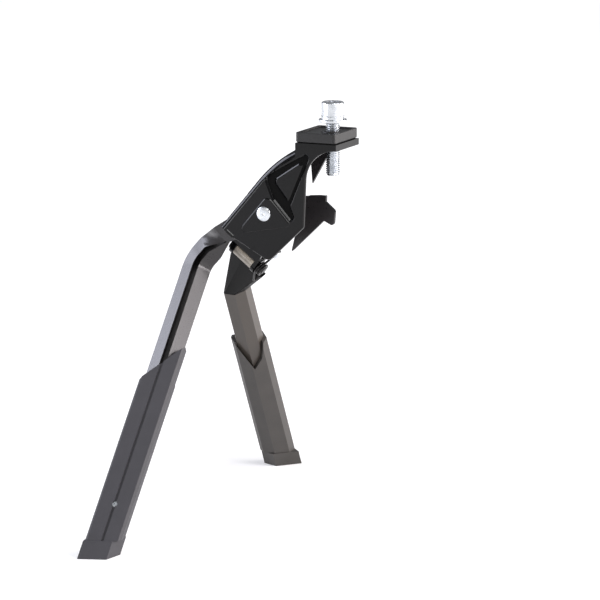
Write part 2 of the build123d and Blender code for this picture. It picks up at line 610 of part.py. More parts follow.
# Left leg: swept lower leg with a bent knee, an arm pressed flat, and a root plate at the pivot
KNEE_START = Vector(*LEFT_KNEE) - ARM_DIR * KNEE_R
ARM_TOP = Vector(*LEFT_KNEE) - ARM_DIR * ARM_LENGTH
ARM_TOP = Vector(ARM_TOP.X, -CARRIER_HALF - ARM_ROOT_T / 2, ARM_TOP.Z)
ARM_SLOT_AT = ARM_WIDTH * 0.42
ARM_SLOT = LEG_SLOT / 6
KNEE_PLANE = Plane(KNEE_START, x_dir=ARM_ACROSS, z_dir=ARM_DIR)
ARM_PLANE = Plane(ARM_TOP, x_dir=ARM_ACROSS, z_dir=ARM_DIR)
ARM_WALL = ARM_ROOT_T * 0.42
LEFT_END = LEFT_GROUND - LEFT_DIR * LEG_STOPS_ABOVE
with BuildPart() as left_leg:
    with BuildLine() as knee_path:
        FilletPolyline(KNEE_START, LEFT_KNEE, LEFT_END, radius=KNEE_R)
    with BuildSketch(KNEE_PLANE):
        Polygon(*folded_outline(1), align=None)
    sweep(path=knee_path.line)
    with BuildSketch(KNEE_PLANE):
        Polygon(*folded_outline(1, LEG_SHEET), align=None)
    sweep(path=knee_path.line, mode=Mode.SUBTRACT)
    with BuildSketch(KNEE_PLANE):
        Polygon(*slot_outline(1, 0, LEG_SLOT, 2 * LEG_RIDGE), align=None)
    sweep(path=knee_path.line, mode=Mode.SUBTRACT)
    with BuildSketch(KNEE_PLANE):
        Polygon(*folded_outline(1), align=None)
    with BuildSketch(ARM_PLANE):
        Polygon(*flat_outline(1, ARM_WIDTH, ARM_ROOT_T, ARM_SLOT_AT, ARM_SLOT), align=None)
    loft(ruled=True)
    with BuildSketch(KNEE_PLANE):
        Polygon(*folded_outline(1, LEG_SHEET), align=None)
    with BuildSketch(ARM_PLANE):
        Polygon(*flat_outline(1, ARM_WIDTH, ARM_ROOT_T, ARM_SLOT_AT, ARM_SLOT, ARM_WALL), align=None)
    loft(ruled=True, mode=Mode.SUBTRACT)
    with BuildSketch(KNEE_PLANE):
        Polygon(*slot_outline(1, 0, LEG_SLOT, 2 * LEG_RIDGE), align=None)
    with BuildSketch(ARM_PLANE):
        Polygon(*slot_outline(1, ARM_SLOT_AT, ARM_SLOT, ARM_ROOT_T), align=None)
    loft(ruled=True, mode=Mode.SUBTRACT)
    with BuildSketch(Plane.XZ.offset(ROOT_OUT)):
        with BuildLine():
            CenterArc((PIVOT_X, PIVOT_Z), CARRIER_BOSS_R, 0, 360)
            root_a = ARM_TOP + ARM_ACROSS * (ARM_WIDTH / 2)
            root_b = ARM_TOP - ARM_ACROSS * (ARM_WIDTH / 2)
            Line((root_a.X, root_a.Z), (root_b.X, root_b.Z))
        make_hull()
        with Locations((PIVOT_X, PIVOT_Z)):
            Circle(RIVET_D / 2 + RUNNING_FIT, mode=Mode.SUBTRACT)
    extrude(amount=-ARM_ROOT_T)
left_leg.part.label = "left_leg"
export_step(left_leg.part, "parts/left_leg.step")


# Right leg: straight lower leg, a plate that widens to the hinge, and the knuckle
PLATE_START = KNUCKLE_D / 2 + LUG_R / 4
PLATE_TOP = HINGE + PLATE_DIR * PLATE_START
PLATE_PLANE = Plane(PLATE_TOP - PIN_AXIS * PLATE_AHEAD, x_dir=PIN_AXIS, z_dir=PLATE_DIR)
RIGHT_PLANE = Plane(RIGHT_KNEE, x_dir=RIGHT_ACROSS, z_dir=RIGHT_DIR)
PLATE_SLOT = LEG_SLOT * 2
with BuildPart() as right_leg:
    with BuildSketch(RIGHT_PLANE):
        Polygon(*folded_outline(-1), align=None)
    with BuildSketch(PLATE_PLANE):
        Polygon(*flat_outline(-1, PLATE_WIDTH, PLATE_T, 0, PLATE_SLOT, lead=PLATE_LEAD), align=None)
    loft(ruled=True)
    with BuildSketch(RIGHT_PLANE):
        Polygon(*folded_outline(-1), align=None)
    extrude(amount=RIGHT_LENGTH - LEG_STOPS_ABOVE)
    with BuildSketch(RIGHT_PLANE.offset(KNEE_R)):
        Polygon(*folded_outline(-1, LEG_SHEET), align=None)
    extrude(amount=RIGHT_LENGTH, mode=Mode.SUBTRACT)
    with BuildSketch(RIGHT_PLANE.offset(KNEE_R)):
        Polygon(*slot_outline(-1, 0, LEG_SLOT, 2 * LEG_RIDGE), align=None)
    extrude(amount=RIGHT_LENGTH, mode=Mode.SUBTRACT)
    with BuildSketch(pin_plane(-KNUCKLE_AHEAD)):
        Circle(KNUCKLE_D / 2)
    extrude(amount=KNUCKLE_AHEAD + KNUCKLE_BEHIND)
    with BuildSketch(PLATE_PLANE.offset(LEG_SHEET)):
        with Locations((PLATE_AHEAD + (KNUCKLE_BEHIND - KNUCKLE_AHEAD) / 2, 0)):
            Rectangle(KNUCKLE_BEHIND + KNUCKLE_AHEAD, PLATE_T * 0.8)
    extrude(amount=-PLATE_START - LEG_SHEET)
    with BuildSketch(pin_plane(-KNUCKLE_AHEAD)):
        Circle(HINGE_PIN_D / 2 + RUNNING_FIT)
    extrude(amount=KNUCKLE_AHEAD + KNUCKLE_BEHIND, mode=Mode.SUBTRACT)
right_leg.part.label = "right_leg"
export_step(right_leg.part, "parts/right_leg.step")


# Feet: a sleeve over the leg's end and a shoe with a level sole, and the screw that runs in the slot
SOLE = 2 * SLEEVE_WIDTH  # the moulding is drawn this far past the ground and then cut level


def sleeve_outline(out):
    """Outer line of the sleeve: flat outside, faceted inside."""
    half = SLEEVE_WIDTH / 2
    return [
        (SLEEVE_OUTER_FACE / 2, out * SLEEVE_OUT),
        (half, out * SLEEVE_SIDE_HIGH),
        (half, out * SLEEVE_SIDE_LOW),
        (SLEEVE_INNER_FACE / 2, -out * SLEEVE_IN),
        (-SLEEVE_INNER_FACE / 2, -out * SLEEVE_IN),
        (-half, out * SLEEVE_SIDE_LOW),
        (-half, out * SLEEVE_SIDE_HIGH),
        (-SLEEVE_OUTER_FACE / 2, out * SLEEVE_OUT),
    ]


def shoe_outline(out):
    """Outer line of the shoe; the right foot's shoe is the left one turned over."""
    half = SLEEVE_WIDTH / 2
    wide = max(SLEEVE_OUT, SLEEVE_IN) + SHOE_RIM
    inner = SLEEVE_INNER_FACE / 2 + SHOE_RIM
    return [
        (out * (half + SHOE_RIM), -wide),
        (out * (SHOE_CUT - half), -wide),
        (-out * (half + SHOE_RIM), SHOE_CORNER),
        (-out * inner, wide),
        (out * inner, wide),
        (out * (half + SHOE_RIM), SHOE_CORNER),
    ]


for name, ground, down, across_leg, out, high in (
    ("left_foot", LEFT_GROUND, LEFT_DIR, LEFT_ACROSS, -1, SLEEVE_LEFT_HIGH),
    ("right_foot", RIGHT_GROUND, RIGHT_DIR, RIGHT_ACROSS, 1, SLEEVE_RIGHT_HIGH),
):
    base = Plane(ground, x_dir=across_leg, z_dir=-down)
    face = Plane(ground, x_dir=across_leg, z_dir=base.y_dir * -1)
    low = base.offset(-SOLE)
    past = -out * SLEEVE_WIDTH  # the high side is the left foot's rear and the right foot's front
    with BuildPart() as shoe:
        with BuildSketch(low):
            Polygon(*shoe_outline(out), align=None)
        extrude(amount=2 * SOLE)
        split(bisect_by=Plane.XY.offset(-GROUND), keep=Keep.TOP)
        split(bisect_by=Plane.XY.offset(SHOE_HEIGHT - GROUND), keep=Keep.BOTTOM)
    with BuildPart() as foot:
        with BuildSketch(low):
            Polygon(*sleeve_outline(out), align=None)
        extrude(amount=SOLE + high)
        with BuildSketch(face):
            Polygon(
                (-past, SLEEVE_LOW - (high - SLEEVE_LOW) / 2),
                (past, high + (high - SLEEVE_LOW) / 2),
                (past, 2 * high),
                (-past, 2 * high),
                align=None,
            )
        extrude(amount=SLEEVE_WIDTH, both=True, mode=Mode.SUBTRACT)
        with BuildSketch(face):
            Polygon(
                (-out * NOTCH_AT, SLEEVE_NOTCH),
                (past, SLEEVE_NOTCH + NOTCH_STEEP * (SLEEVE_WIDTH - NOTCH_AT)),
                (past, 2 * high),
                (-past, 2 * high),
                (-past, SLEEVE_NOTCH + NOTCH_STEEP * SLEEVE_WIDTH),
                (out * NOTCH_STEP_AT, SLEEVE_NOTCH + NOTCH_STEP_UP),
                align=None,
            )
        extrude(amount=out * SLEEVE_WIDTH, mode=Mode.SUBTRACT)
        with BuildSketch(low):
            with Locations((0, out * SLEEVE_OUT)):
                Rectangle(FOOT_GROOVE_W, 2 * FOOT_GROOVE_D)
        extrude(amount=SOLE + high, mode=Mode.SUBTRACT)
        split(bisect_by=Plane.XY.offset(SHOE_HEIGHT - GROUND), keep=Keep.TOP)
        add(shoe.part)
        with BuildSketch(base.offset(LEG_STOPS_ABOVE - FOOT_ROOM)):
            Polygon(*folded_outline(out), align=None)
            offset(amount=FOOT_ROOM, kind=Kind.INTERSECTION)
        extrude(amount=high, mode=Mode.SUBTRACT)
        with BuildSketch(face):
            with Locations((0, SCREW_UP)):
                Circle(SCREW_D / 2 + PRESS_ROOM)
        extrude(amount=-out * SLEEVE_WIDTH, mode=Mode.SUBTRACT)
    foot.part.label = name
    export_step(foot.part, f"parts/{name}.step")

    screw_plane = Plane(ground - down * SCREW_UP, x_dir=across_leg, z_dir=base.y_dir * out)
    with BuildPart() as foot_screw:
        with BuildSketch(screw_plane.offset(LEG_RIDGE - LEG_SHEET / 2)):
            Circle(SCREW_D / 2)
        extrude(amount=SLEEVE_OUT - FOOT_GROOVE_D - LEG_RIDGE + LEG_SHEET / 2)
        with BuildSketch(screw_plane.offset(SLEEVE_OUT - FOOT_GROOVE_D)):
            RegularPolygon(SCREW_SOCKET / 2, 6, major_radius=False)
        extrude(amount=-SCREW_SOCKET / 2, mode=Mode.SUBTRACT)
    foot_screw.part.label = f"{name}_screw"
    export_step(foot_screw.part, f"parts/{name}_screw.step")


# Torsion spring, drawn plain: a tube round the pin and its two wire legs
TORSION_END = TORSION_START + TORSION_LENGTH
POST_SIDE = Vector(POST_Y - HINGE_Y, -POST_BELOW)
POST_WIRE = TORSION_END - TORSION_WIRE / 2
POST_WIRE_END = WEB_REAR - HINGE_ALONG + POST_H * 0.6
PLATE_WIRE = TORSION_START + TORSION_WIRE / 2
PLATE_WIRE_LENGTH = 16.0
UPPER = pin_plane(POST_WIRE)
UPPER_AWAY = POST_SIDE.normalized().rotate(Axis.Z, 90)
PLATE_IN = PLATE_DIR.cross(PIN_AXIS)
wire_low = UPPER.from_local_coords(UPPER_AWAY * TORSION_MEAN_R)
wire_high = pin_plane(POST_WIRE_END).from_local_coords(
    POST_SIDE * 1.2 + UPPER_AWAY * (POST_D / 2 + TORSION_WIRE / 2 + RUNNING_FIT)
)
plate_low = HINGE + PIN_AXIS * PLATE_WIRE + PLATE_IN * TORSION_MEAN_R
plate_high = (
    HINGE
    + PIN_AXIS * PLATE_WIRE
    + PLATE_DIR * PLATE_WIRE_LENGTH
    + PLATE_IN * (TORSION_MEAN_R + TORSION_WIRE / 3)
)
with BuildPart() as torsion_spring:
    with BuildSketch(pin_plane(TORSION_START)):
        Circle(TORSION_MEAN_R + TORSION_WIRE / 2)
        Circle(TORSION_MEAN_R - TORSION_WIRE / 2, mode=Mode.SUBTRACT)
    extrude(amount=TORSION_LENGTH)
    for start, end in ((wire_low, wire_high), (plate_low, plate_high)):
        with BuildSketch(Plane(start, z_dir=end - start)):
            Circle(TORSION_WIRE / 2)
        extrude(amount=(end - start).length)
torsion_spring.part.label = "torsion_spring"
export_step(torsion_spring.part, "parts/torsion_spring.step")


# Return spring, drawn plain: a capped tube with a loop at each end, from the tab to the spring pin
COIL_DIR = (SPRING_PIN - ANCHOR).normalized()
COIL_SPAN = (SPRING_PIN - ANCHOR).length
TAB_LOOP_R = TAB_R - RETURN_WIRE / 2
PIN_LOOP_R = SPRING_PIN_D / 2 + RETURN_WIRE / 2 + 2 * RUNNING_FIT
COIL_START = 2 * TAB_LOOP_R - RETURN_WIRE / 4
COIL_END = COIL_SPAN - PIN_LOOP_R - RETURN_WIRE / 4
with BuildPart() as return_spring:
    with BuildSketch(Plane(ANCHOR + COIL_DIR * COIL_START, z_dir=COIL_DIR)):
        Circle(RETURN_OD / 2)
    extrude(amount=COIL_END - COIL_START)
    with BuildSketch(Plane(ANCHOR + COIL_DIR * (COIL_START + RETURN_WIRE), z_dir=COIL_DIR)):
        Circle(RETURN_OD / 2 - RETURN_WIRE)
    extrude(amount=COIL_END - COIL_START - 2 * RETURN_WIRE, mode=Mode.SUBTRACT)
    for centre, normal, radius in (
        (ANCHOR + COIL_DIR * TAB_LOOP_R, COIL_DIR.cross(Vector(0, 1, 0)), TAB_LOOP_R),
        (SPRING_PIN, Vector(0, 1, 0), PIN_LOOP_R),
    ):
        with BuildSketch(Plane(centre, z_dir=normal)):
            Circle(radius + RETURN_WIRE / 2)
            Circle(radius - RETURN_WIRE / 2, mode=Mode.SUBTRACT)
        extrude(amount=RETURN_WIRE / 2, both=True)
return_spring.part.label = "return_spring"
export_step(return_spring.part, "parts/return_spring.step")
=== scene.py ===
# %% [markdown]
# A two-leg bicycle kickstand. One bolt holds it by the seat on its top. A pressed steel hood carries
# the pivot, a carrier folds up inside the hood, and two folded steel legs end in black plastic feet.
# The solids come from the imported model. This lesson gives them their edges, finishes, springs and
# thread.

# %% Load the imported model
from math import cos, pi, radians, sin

import bmesh
import bpy
from mathutils import Matrix, Vector


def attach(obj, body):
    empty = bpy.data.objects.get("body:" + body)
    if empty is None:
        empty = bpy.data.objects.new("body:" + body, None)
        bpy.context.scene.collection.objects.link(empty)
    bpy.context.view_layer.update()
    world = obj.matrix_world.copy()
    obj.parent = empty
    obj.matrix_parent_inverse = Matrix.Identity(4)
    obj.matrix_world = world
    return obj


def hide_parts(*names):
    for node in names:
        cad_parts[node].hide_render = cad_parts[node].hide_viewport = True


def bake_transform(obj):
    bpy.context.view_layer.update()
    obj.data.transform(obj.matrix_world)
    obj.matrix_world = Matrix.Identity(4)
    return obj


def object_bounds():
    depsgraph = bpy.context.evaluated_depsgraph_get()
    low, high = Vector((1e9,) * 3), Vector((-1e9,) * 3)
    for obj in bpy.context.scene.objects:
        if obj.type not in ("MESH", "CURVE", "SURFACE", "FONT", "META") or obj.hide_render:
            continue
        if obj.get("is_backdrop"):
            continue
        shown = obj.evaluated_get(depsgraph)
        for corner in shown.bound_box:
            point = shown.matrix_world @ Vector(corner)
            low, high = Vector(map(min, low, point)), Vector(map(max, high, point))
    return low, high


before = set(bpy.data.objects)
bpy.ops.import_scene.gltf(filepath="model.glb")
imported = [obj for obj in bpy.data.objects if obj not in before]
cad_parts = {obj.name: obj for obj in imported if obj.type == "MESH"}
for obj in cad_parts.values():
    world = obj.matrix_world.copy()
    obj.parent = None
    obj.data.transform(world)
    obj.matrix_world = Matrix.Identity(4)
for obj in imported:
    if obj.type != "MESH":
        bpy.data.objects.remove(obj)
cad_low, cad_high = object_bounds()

MM = 0.001
print("box of the solids, mm:", [round(v / MM, 1) for v in (*cad_low, *cad_high)])

# %% [markdown]
# The camera stands on the stand's near side, a little to its rear and above it, and looks slightly
# down. A lens this long keeps the two legs almost parallel. A tracking constraint could aim it, but a
# place and two angles say the same in plain numbers, and they don't change when a piece does.

# %% Camera
CAMERA_AT = Vector((1.0840, -2.4375, 0.3846))
CAMERA_AZIMUTH = radians(24.47)
CAMERA_ELEVATION = radians(10.74)
CAMERA_LENS = 230.0

look = Vector((
    -sin(CAMERA_AZIMUTH) * cos(CAMERA_ELEVATION),
    cos(CAMERA_AZIMUTH) * cos(CAMERA_ELEVATION),
    -sin(CAMERA_ELEVATION),
))
camera = bpy.data.objects.new("camera", bpy.data.cameras.new("camera"))
camera.data.lens = CAMERA_LENS
camera.location = CAMERA_AT
camera.rotation_mode = "QUATERNION"
camera.rotation_quaternion = look.to_track_quat("-Z", "Y")
bpy.context.scene.collection.objects.link(camera)
bpy.context.scene.camera = camera
bpy.context.scene.view_settings.view_transform = "Standard"
print("camera", round((CAMERA_AT - cad_low).length, 2), "m away")

# %% [markdown]
# Small helpers serve every material. A colour is written as its sRGB hex value, as a paint chart gives
# it, and Blender wants linear light. A node is added with its settings, its plain values and its links
# in one call, so a material reads from top to bottom as its nodes are linked.


# %% Colour and node helpers
def linear(code):
    """Linear RGBA of an sRGB hex colour."""
    shares = [int(code[at:at + 2], 16) / 255 for at in (1, 3, 5)]
    return tuple(s / 12.92 if s <= 0.04045 else ((s + 0.055) / 1.055) ** 2.4 for s in shares) + (1.0,)


def add(tree, kind, values=(), links=(), **settings):
    """A new node with its settings, its sockets' values and its incoming links."""
    made = tree.nodes.new(kind)
    for name, value in settings.items():
        setattr(made, name, value)
    for socket, value in dict(values).items():
        made.inputs[socket].default_value = value
    for socket, output in dict(links).items():
        tree.links.new(output, made.inputs[socket])
    return made


def new_material(name):
    """An empty node material and its output node."""
    material = bpy.data.materials.new(name)
    material.use_nodes = True
    material.node_tree.nodes.clear()
    return material, material.node_tree, add(material.node_tree, "ShaderNodeOutputMaterial")


print("middle grey in linear light:", round(linear("#808080")[0], 3))

# %% [markdown]
# The stage is one wide pale floor. A white floor under enough light to look white would flood the
# stand, so the floor gives camera and mirror rays a little light of its own instead. That light is
# weaker near the stand, where the feet leave their shadows, and stronger far out, where the floor has
# to fade into white.

# %% Floor
FLOOR_HALF = 9.0
FLOOR_DROP = 0.2 * MM
NEAR_AT = 0.3
NEAR_GLOW = 0.3
FAR_AT = 1.8
FAR_GLOW = 0.72

paper, tree, out = new_material("floor_paper")
path = add(tree, "ShaderNodeLightPath")
mirrored = add(tree, "ShaderNodeMath", operation="ADD",
               links={0: path.outputs["Is Camera Ray"], 1: path.outputs["Is Glossy Ray"]})
seen = add(tree, "ShaderNodeMath", operation="ADD",
           links={0: mirrored.outputs[0], 1: path.outputs["Is Transmission Ray"]})
place = add(tree, "ShaderNodeTexCoord")
away = add(tree, "ShaderNodeVectorMath", links={0: place.outputs["Object"]}, operation="LENGTH")
glow = add(tree, "ShaderNodeMapRange",
           {"From Min": NEAR_AT, "From Max": FAR_AT, "To Min": NEAR_GLOW, "To Max": FAR_GLOW},
           {"Value": away.outputs["Value"]})
lift = add(tree, "ShaderNodeMath", links={0: seen.outputs[0], 1: glow.outputs[0]}, operation="MULTIPLY")
sheet = add(tree, "ShaderNodeBsdfPrincipled",
            {"Base Color": linear("#e2e2e2"), "Roughness": 0.9, "Specular IOR Level": 0.0,
             "Emission Color": linear("#ffffff")},
            {"Emission Strength": lift.outputs[0]})
tree.links.new(sheet.outputs[0], out.inputs["Surface"])

bm = bmesh.new()
bmesh.ops.create_grid(bm, x_segments=1, y_segments=1, size=FLOOR_HALF,
                      matrix=Matrix.Translation((0, 0, cad_low.z - FLOOR_DROP)))
floor = bpy.data.objects.new("floor", bpy.data.meshes.new("floor"))
bm.to_mesh(floor.data)
bm.free()
floor.data.materials.append(paper)
bpy.context.scene.collection.objects.link(floor)
floor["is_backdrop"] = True
print("floor at", round((cad_low.z - FLOOR_DROP) / MM, 1), "mm")

# %% [markdown]
# A black, glossy thing is lit by what it mirrors. Two softboxes at the sides draw the bright facets of
# the near leg, and one behind at the right lights the far leg. Weaker ones fill in from low on the left,
# from above and from the front. The world gives the rest an even, slightly cool light.

# %% World and softboxes
WORLD_COLOUR = "#eef0f4"
WORLD_STRENGTH = 0.35
SOFTBOXES = (
    ("left_side", (-1.75, -0.38, 0.75), 1.3, 0.65, 23, "#eef0ff"),
    ("right_side", (1.62, -0.40, 0.60), 0.7, 0.7, 30, "#f6f0f2"),
    ("right_back", (1.50, 1.10, 0.30), 0.8, 0.9, 34, "#f8f1ee"),
    ("left_low", (-1.45, -1.15, -0.05), 0.9, 0.3, 8, "#f6f6fc"),
    ("overhead", (0.80, -0.80, 1.55), 0.7, 0.7, 15, "#ffffff"),
    ("front_fill", (-0.30, -2.40, 0.55), 0.8, 0.5, 4, "#fff8f0"),
)

world = bpy.data.worlds.new("studio")
bpy.context.scene.world = world
world.use_nodes = True
world.node_tree.nodes["Background"].inputs["Color"].default_value = linear(WORLD_COLOUR)
world.node_tree.nodes["Background"].inputs["Strength"].default_value = WORLD_STRENGTH


def softbox(name, at, aim, wide, high, watts, colour):
    """A rectangular studio light at a point, turned to another."""
    lamp = bpy.data.lights.new(name, "AREA")
    lamp.shape = "RECTANGLE"
    lamp.size = wide
    lamp.size_y = high
    lamp.energy = watts
    lamp.color = linear(colour)[:3]
    holder = bpy.data.objects.new(name, lamp)
    holder.location = at
    holder.rotation_mode = "QUATERNION"
    holder.rotation_quaternion = (aim - Vector(at)).to_track_quat("-Z", "Y")
    bpy.context.scene.collection.objects.link(holder)


middle = (cad_low + cad_high) / 2
for name, at, wide, high, watts, colour in SOFTBOXES:
    softbox(name, at, middle, wide, high, watts, colour)
print("softboxes", [lamp.name for lamp in bpy.data.lights])

# %% [markdown]
# The hood is pressed steel under a thick coat of black stoving enamel. The eye sees a deep black that
# mirrors the lights sharply, slightly wavy from the way the paint flowed before it set. One noise drives
# both the waves and the gloss, which keeps the two in step.

# %% Black stoving enamel
ORANGE_PEEL = 2.2 * MM
PEEL_HEIGHT = 0.2 * MM


def make_enamel():
    """Glossy black enamel with the faint waviness that sprayed paint keeps."""
    material, tree, out = new_material("black_stoving_enamel")
    place = add(tree, "ShaderNodeTexCoord")
    waves = add(tree, "ShaderNodeTexNoise", {"Scale": 1 / ORANGE_PEEL, "Detail": 2.0},
                {"Vector": place.outputs["Object"]})
    relief = add(tree, "ShaderNodeBump", {"Strength": 0.05, "Distance": PEEL_HEIGHT},
                 {"Height": waves.outputs["Fac"]})
    blur = add(tree, "ShaderNodeMapRange", {"To Min": 0.08, "To Max": 0.15},
               {"Value": waves.outputs["Fac"]})
    paint = add(tree, "ShaderNodeBsdfPrincipled",
                {"Base Color": linear("#060607"), "IOR": 1.5, "Specular IOR Level": 0.22},
                {"Roughness": blur.outputs[0], "Normal": relief.outputs[0]})
    tree.links.new(paint.outputs[0], out.inputs["Surface"])
    return material


enamel = make_enamel()
print("made", enamel.name)

# %% [markdown]
# The legs carry a thinner, satin coat on rolled sheet. Mill marks in the sheet show through as a fine
# grain, and the satin turns a bright sky into an even grey rather than a mirror picture. The far leg gets
# a lighter, warmer copy of the coat, which is painted light for the light that falls on that leg. A
# dull, darker black is painted shade: it goes on the far leg's plate and on the floor of the hood's
# channel.

# %% Black satin paint
MILL_GRAIN = 0.9 * MM
GRAIN_HEIGHT = 0.1 * MM


def make_satin_paint(name, colour, gloss, smooth, rough):
    """Black paint on folded sheet steel, from satin to dull."""
    material, tree, out = new_material(name)
    place = add(tree, "ShaderNodeTexCoord")
    grain = add(tree, "ShaderNodeTexNoise", {"Scale": 1 / MILL_GRAIN, "Detail": 3.0},
                {"Vector": place.outputs["Object"]})
    relief = add(tree, "ShaderNodeBump", {"Strength": 0.06, "Distance": GRAIN_HEIGHT},
                 {"Height": grain.outputs["Fac"]})
    blur = add(tree, "ShaderNodeMapRange", {"To Min": smooth, "To Max": rough},
               {"Value": grain.outputs["Fac"]})
    paint = add(tree, "ShaderNodeBsdfPrincipled",
                {"Base Color": linear(colour), "IOR": 1.5, "Specular IOR Level": gloss},
                {"Roughness": blur.outputs[0], "Normal": relief.outputs[0]})
    tree.links.new(paint.outputs[0], out.inputs["Surface"])
    return material


satin_paint = make_satin_paint("black_satin_paint", "#2a2829", 0.5, 0.24, 0.34)
# Painted light: a lighter, warmer copy of the satin paint for the far leg.
far_leg_painted_light_paint = make_satin_paint("far_leg_painted_light_satin", "#46413c", 0.45, 0.3, 0.42)
# Painted shade: a darker, duller black for the hood's channel floor and the far leg's plate.
painted_shade_black = make_satin_paint("painted_shade_dull_black", "#090909", 0.05, 0.4, 0.5)
print("made", satin_paint.name, far_leg_painted_light_paint.name, painted_shade_black.name)

# %% [markdown]
# The feet and the seat block are moulded from glass-filled nylon. The feet's tool was spark-eroded, so
# their surface is finely pebbled and dull, a dark grey rather than a true black. The far foot gets a
# lighter, warmer copy, painted light as on its leg. The seat block's tool was polished, and it came out
# blacker and smoother. Real pebbles are too fine to show here, so they are drawn coarser.

# %% Glass-filled nylon
PEBBLE = 0.8 * MM
PEBBLE_HEIGHT = 0.12 * MM
CLOUD = 14 * MM


def make_nylon(name, dark, light, rough, pebble_share):
    """Black moulded plastic with an eroded texture and slow clouds of tone."""
    material, tree, out = new_material(name)
    place = add(tree, "ShaderNodeTexCoord")
    pebbles = add(tree, "ShaderNodeTexVoronoi", {"Scale": 1 / PEBBLE},
                  {"Vector": place.outputs["Object"]})
    clouds = add(tree, "ShaderNodeTexNoise", {"Scale": 1 / CLOUD, "Detail": 3.0},
                 {"Vector": place.outputs["Object"]})
    tone = add(tree, "ShaderNodeMix", {"A": linear(dark), "B": linear(light)},
               {"Factor": clouds.outputs["Fac"]}, data_type="RGBA")
    relief = add(tree, "ShaderNodeBump", {"Strength": pebble_share, "Distance": PEBBLE_HEIGHT},
                 {"Height": pebbles.outputs["Distance"]})
    plastic = add(tree, "ShaderNodeBsdfPrincipled",
                  {"Roughness": rough, "IOR": 1.53, "Specular IOR Level": 0.4},
                  {"Base Color": tone.outputs["Result"], "Normal": relief.outputs[0]})
    tree.links.new(plastic.outputs[0], out.inputs["Surface"])
    return material


nylon = make_nylon("glass_filled_nylon", "#323236", "#3c3b40", 0.58, 0.25)
# Painted light: a lighter, warmer copy of the nylon for the far foot.
far_foot_painted_light_nylon = make_nylon("far_foot_painted_light_nylon", "#3b3937", "#474441", 0.6, 0.25)
seat_nylon = make_nylon("smooth_black_nylon", "#121213", "#1a1a1b", 0.42, 0.1)
print("made", nylon.name, far_foot_painted_light_nylon.name, seat_nylon.name)

# %% [markdown]
# The bolt, its washers, the rivets, the spring's post and the feet's screws are zinc plated. Fresh zinc
# is a cool, bright metal with a cloudy bloom. The return spring, its pin and the pivot's washer and
# spacer are spring steel, darker and a little oily. The far leg's knuckle gets a warm grey metal as a
# painted highlight, and the hinge pin and its spring are blackened. One recipe makes all four: a cloudy
# noise moves both the tone and the gloss of a metal.


# %% Zinc plate, spring steel, painted highlight steel and black oxide
def make_metal(name, light, dark, smooth, rough, bloom_mm):
    """A bare or plated metal with a cloudy change of tone and gloss."""
    material, tree, out = new_material(name)
    place = add(tree, "ShaderNodeTexCoord")
    bloom = add(tree, "ShaderNodeTexNoise", {"Scale": 1 / (bloom_mm * MM), "Detail": 4.0},
                {"Vector": place.outputs["Object"]})
    tone = add(tree, "ShaderNodeMix", {"A": linear(light), "B": linear(dark)},
               {"Factor": bloom.outputs["Fac"]}, data_type="RGBA")
    blur = add(tree, "ShaderNodeMapRange", {"To Min": smooth, "To Max": rough},
               {"Value": bloom.outputs["Fac"]})
    metal = add(tree, "ShaderNodeBsdfPrincipled", {"Metallic": 1.0},
                {"Base Color": tone.outputs["Result"], "Roughness": blur.outputs[0]})
    tree.links.new(metal.outputs[0], out.inputs["Surface"])
    return material


zinc = make_metal("zinc_plate", "#e2e5e8", "#b9bec4", 0.2, 0.36, 3.0)
spring_steel = make_metal("spring_steel", "#a9aaab", "#77787b", 0.2, 0.34, 4.0)
# Painted highlight: a warm grey metal that stands in for light on the far leg's black knuckle.
painted_highlight_steel = make_metal("painted_highlight_steel", "#a39d94", "#7d776f", 0.3, 0.45, 3.0)
black_oxide = make_metal("black_oxide_steel", "#3b3a3a", "#252525", 0.24, 0.4, 2.5)
print("made", zinc.name, spring_steel.name, painted_highlight_steel.name, black_oxide.name)

# %% [markdown]
# A solid from a CAD kernel has edges sharper than any press or mould leaves. Each of these pieces is
# copied, its triangles are joined back into whole faces, and every sharp edge is rolled over by a few
# tenths of a millimetre. Those narrow rounds are what catch the light along the edges of the real
# thing. A bevel modifier could do this too, but here each piece chooses its own edges. The last step
# sets a normal for every corner, weighed by the faces' areas, so that the wide faces stay flat to the
# eye.

# %% Finishing helpers
SHARP = radians(28)
CREASE = radians(12)
FLAT = radians(0.6)
SMOOTH = radians(50)
FACETED = radians(24)
WELD = 0.002 * MM


def corner_normals(bm, bend):
    """A normal for every corner: wide faces keep their direction and narrow rounds bend between them."""
    normals = []
    limit = cos(bend)
    for face in bm.faces:
        for corner in face.loops:
            near = [f for f in corner.vert.link_faces if f.normal.dot(face.normal) > limit]
            normals.append(sum((f.normal * f.calc_area() for f in near), Vector()).normalized())
    return normals


def finish_piece(name, bm, material, body, stands_for, bend=SMOOTH):
    """The object of a finished bmesh, smooth apart from its sharp edges, on a body if one is given."""
    piece = bpy.data.objects.new(name, bpy.data.meshes.new(name))
    bm.normal_update()
    normals = corner_normals(bm, bend)
    bm.to_mesh(piece.data)
    bm.free()
    piece.data.materials.append(material)
    piece.data.polygons.foreach_set("use_smooth", [True] * len(piece.data.polygons))
    piece.data.normals_split_custom_set(normals)
    bpy.context.scene.collection.objects.link(piece)
    if body:
        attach(piece, body)
    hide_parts(stands_for)
    print(name, len(piece.data.polygons), "faces")
    return piece


def coat(piece, material, wanted):
    """Gives another finish to the faces of a piece that a test picks."""
    piece.data.materials.append(material)
    for face in piece.data.polygons:
        if wanted(face):
            face.material_index = len(piece.data.materials) - 1


def whole_faces(node):
    """A bmesh of a node with its triangles joined into whole flat faces."""
    bm = bmesh.new()
    bm.from_mesh(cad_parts[node].data)
    bmesh.ops.remove_doubles(bm, verts=bm.verts, dist=WELD)
    bmesh.ops.dissolve_limit(bm, angle_limit=FLAT, verts=bm.verts, edges=bm.edges)
    return bm


